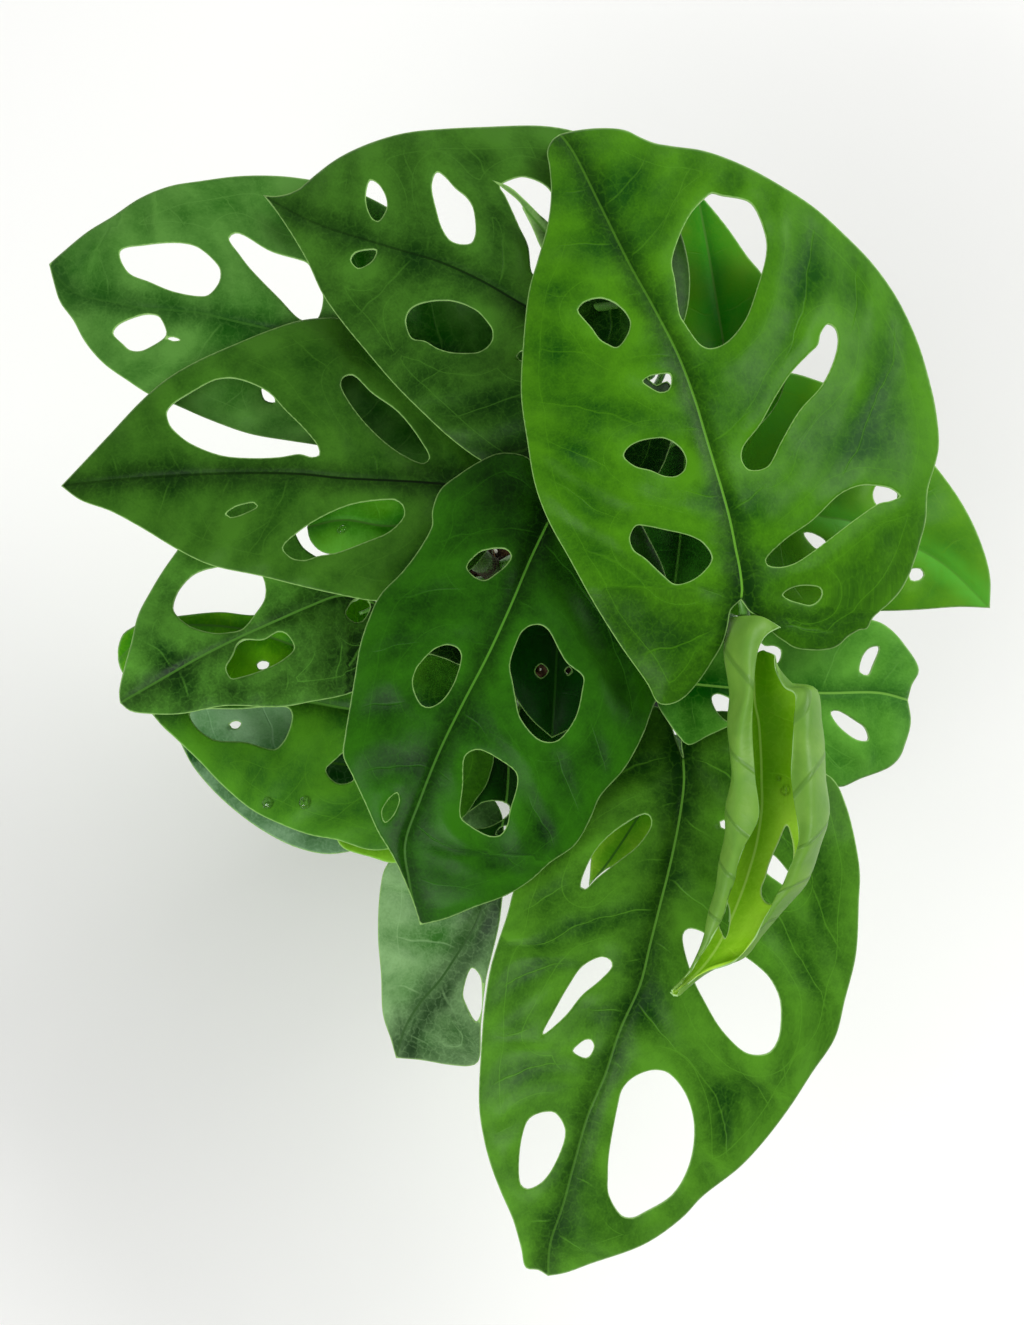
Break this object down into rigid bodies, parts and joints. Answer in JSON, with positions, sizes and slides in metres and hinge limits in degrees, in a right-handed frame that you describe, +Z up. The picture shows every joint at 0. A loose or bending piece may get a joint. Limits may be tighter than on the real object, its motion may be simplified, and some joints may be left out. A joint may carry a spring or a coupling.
{
  "type": "potted monstera adansonii",
  "caption": "Swiss cheese plant in a plain round pot: vine stems in potting mix carry drooping, pointed leaves with natural holes and one young half rolled leaf.",
  "frame": {"origin": "centre of the pot's base, on the surface it stands on", "axes": "+Z up along the pot's axis, -Y towards the front, +X to the right"},
  "size_m": [0.3254, 0.3706, 0.2504],
  "materials": {
    "pot": "matt",
    "soil": "loose, matt",
    "stem": "smooth, green",
    "leaf_light": "glossy",
    "leaf_mature": "glossy",
    "leaf_young": "satin"
  },
  "bodies": {
    "root": {"pot": "pot", "soil": "soil", "stem_left": "stem", "stem_front": "stem", "stem_right": "stem", "stem_back": "stem", "leaf_a": "leaf_light", "leaf_b": "leaf_mature", "leaf_d": "leaf_mature", "leaf_e": "leaf_mature", "leaf_f": "leaf_mature", "leaf_g": "leaf_light", "leaf_h": "leaf_young", "leaf_i": "leaf_mature", "leaf_j": "leaf_mature", "leaf_k": "leaf_mature", "leaf_l": "leaf_mature", "leaf_m": "leaf_light", "leaf_n": "leaf_mature", "leaf_o": "leaf_mature", "leaf_p": "leaf_mature", "leaf_q": "leaf_light", "leaf_s": "leaf_light", "leaf_t": "leaf_mature", "leaf_r": "leaf_mature", "leaf_u": "leaf_light", "leaf_v": "leaf_mature", "leaf_spear": "leaf_young"}
  },
  "joints": []
}
